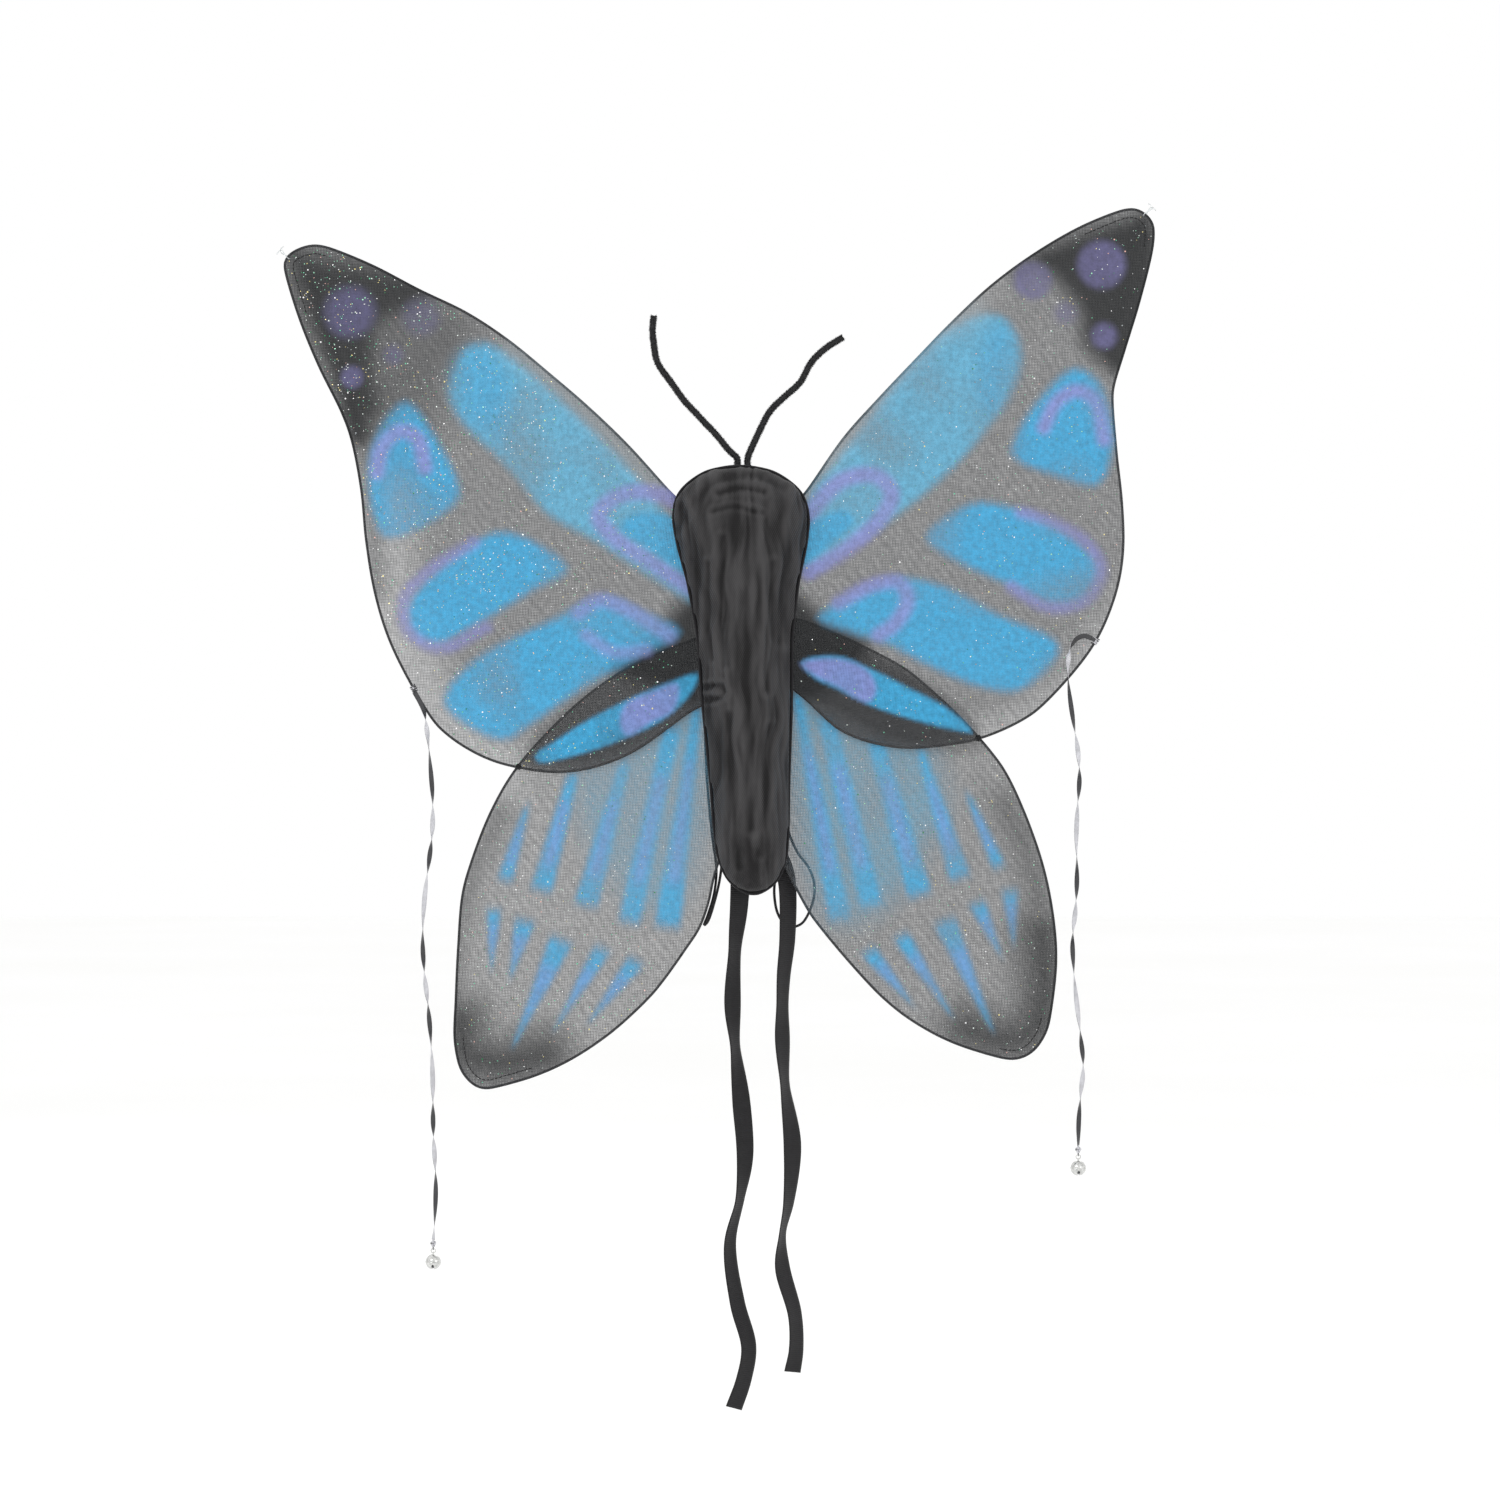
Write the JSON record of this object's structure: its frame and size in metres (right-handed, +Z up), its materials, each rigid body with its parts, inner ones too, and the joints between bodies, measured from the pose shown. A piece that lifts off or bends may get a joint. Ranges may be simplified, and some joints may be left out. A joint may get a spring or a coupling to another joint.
{
  "type": "fairy wings",
  "caption": "Butterfly costume wings: wire loops sleeved in painted mesh on a padded pod, with antennae, arm loops, ribbon ties and hanging bell cords.",
  "frame": {"origin": "centre of the back pad's flat face, which lies against the wearer's back", "axes": "+Y out of the back pad towards the wearer, +Z up along the pod, +X to the right seen from outside, facing the painted side"},
  "size_m": [0.6998, 0.0525, 0.9651],
  "materials": {
    "pod_fabric": "black stretch knit with vertical creases",
    "stuffing": "polyester fibre filling",
    "panel_fabric": "black woven cloth over card",
    "pad_felt": "black felt",
    "binding_tape": "black cloth tape",
    "coated_wire": "black plastic-coated steel wire",
    "nylon_mesh": "black sheer nylon mesh",
    "painted_mesh": "black sheer nylon mesh, airbrushed blue and violet, with glitter",
    "sewing_thread": "black sewing thread",
    "clear_thread": "clear nylon thread",
    "chenille": "black chenille on wire",
    "ribbon": "matt black woven ribbon",
    "round_elastic": "black braided elastic",
    "satin_ribbon": "charcoal satin ribbon",
    "bell_metal": "nickel-plated steel",
    "pellet_steel": "plain steel"
  },
  "bodies": {
    "root": {"pod_front_cover": "pod_fabric", "pod_stuffing": "stuffing", "back_panel": "panel_fabric", "back_pad": "pad_felt", "binding_top": "binding_tape", "binding_middle": "binding_tape", "binding_bottom": "binding_tape", "left_upper_root_wire": "coated_wire", "left_upper_mesh_root": "nylon_mesh", "left_lower_root_wire": "coated_wire", "left_lower_mesh_root": "nylon_mesh", "right_upper_root_wire": "coated_wire", "right_upper_mesh_root": "nylon_mesh", "right_lower_root_wire": "coated_wire", "right_lower_mesh_root": "nylon_mesh", "antenna_fold": "chenille", "left_tie_tab": "ribbon", "left_tie": "ribbon", "left_loop_upper_tab": "ribbon", "left_loop_lower_tab": "ribbon", "left_arm_loop": "round_elastic", "right_tie_tab": "ribbon", "right_tie": "ribbon", "right_loop_upper_tab": "ribbon", "right_loop_lower_tab": "ribbon", "right_arm_loop": "round_elastic"},
    "left_wings": {"left_upper_wire": "coated_wire", "left_upper_mesh_back": "nylon_mesh", "left_upper_mesh_front": "painted_mesh", "left_upper_tip_seam": "sewing_thread", "left_lower_wire": "coated_wire", "left_lower_mesh_back": "nylon_mesh", "left_lower_mesh_front": "painted_mesh", "left_lower_tip_seam": "sewing_thread", "left_tack": "sewing_thread", "left_hang_loop": "clear_thread", "left_cord_knot": "satin_ribbon"},
    "left_bell_cord": {"left_bell_cord": "satin_ribbon", "left_bell_knot": "satin_ribbon"},
    "left_bell": {"left_bell_ring": "bell_metal", "left_bell": "bell_metal"},
    "left_bell_pellet": {"left_bell_pellet": "pellet_steel"},
    "left_antenna": {"left_antenna": "chenille"},
    "right_wings": {"right_upper_wire": "coated_wire", "right_upper_mesh_back": "nylon_mesh", "right_upper_mesh_front": "painted_mesh", "right_upper_tip_seam": "sewing_thread", "right_lower_wire": "coated_wire", "right_lower_mesh_back": "nylon_mesh", "right_lower_mesh_front": "painted_mesh", "right_lower_tip_seam": "sewing_thread", "right_tack": "sewing_thread", "right_hang_loop": "clear_thread", "right_cord_knot": "satin_ribbon"},
    "right_bell_cord": {"right_bell_cord": "satin_ribbon", "right_bell_knot": "satin_ribbon"},
    "right_bell": {"right_bell_ring": "bell_metal", "right_bell": "bell_metal"},
    "right_bell_pellet": {"right_bell_pellet": "pellet_steel"},
    "right_antenna": {"right_antenna": "chenille"}
  },
  "joints": [
    {"name": "left_wings_flex", "type": "hinge", "parent": "root", "child": "left_wings", "pos_m": [-0.062, -0.0116, 0], "axis": [0, 0, -1], "range_deg": [-20, 50], "stiffness_Nm_per_rad": 0.38},
    {"name": "left_bell_cord_swing", "type": "hinge", "parent": "left_wings", "child": "left_bell_cord", "pos_m": [-0.2638, -0.0191, -0.0389], "axis": [-1, 0, 0], "range_deg": [0, 60]},
    {"name": "left_bell_wobble", "type": "hinge", "parent": "left_bell_cord", "child": "left_bell", "pos_m": [-0.2478, -0.0191, -0.48765], "axis": [0, 1, 0], "range_deg": [-40, 40]},
    {"name": "left_pellet_rattle", "type": "slide", "parent": "left_bell", "child": "left_bell_pellet", "axis": [0, 0, 1], "range_m": [0, 0.006]},
    {"name": "left_antenna_bend", "type": "hinge", "parent": "root", "child": "left_antenna", "pos_m": [-0.005, -0.0116, 0.141], "axis": [1, 0, 0], "range_deg": [-35, 35]},
    {"name": "right_wings_flex", "type": "hinge", "parent": "root", "child": "right_wings", "pos_m": [0.054, -0.0116, 0], "axis": [0, 0, 1], "range_deg": [-20, 50], "stiffness_Nm_per_rad": 0.38},
    {"name": "right_bell_cord_swing", "type": "hinge", "parent": "right_wings", "child": "right_bell_cord", "pos_m": [0.281, -0.0191, 0.006], "axis": [-1, 0, 0], "range_deg": [0, 60]},
    {"name": "right_bell_wobble", "type": "hinge", "parent": "right_bell_cord", "child": "right_bell", "pos_m": [0.267, -0.0191, -0.41275], "axis": [0, 1, 0], "range_deg": [-40, 40]},
    {"name": "right_pellet_rattle", "type": "slide", "parent": "right_bell", "child": "right_bell_pellet", "axis": [0, 0, 1], "range_m": [0, 0.006]},
    {"name": "right_antenna_bend", "type": "hinge", "parent": "root", "child": "right_antenna", "pos_m": [0.003, -0.0116, 0.141], "axis": [1, 0, 0], "range_deg": [-35, 35]}
  ]
}
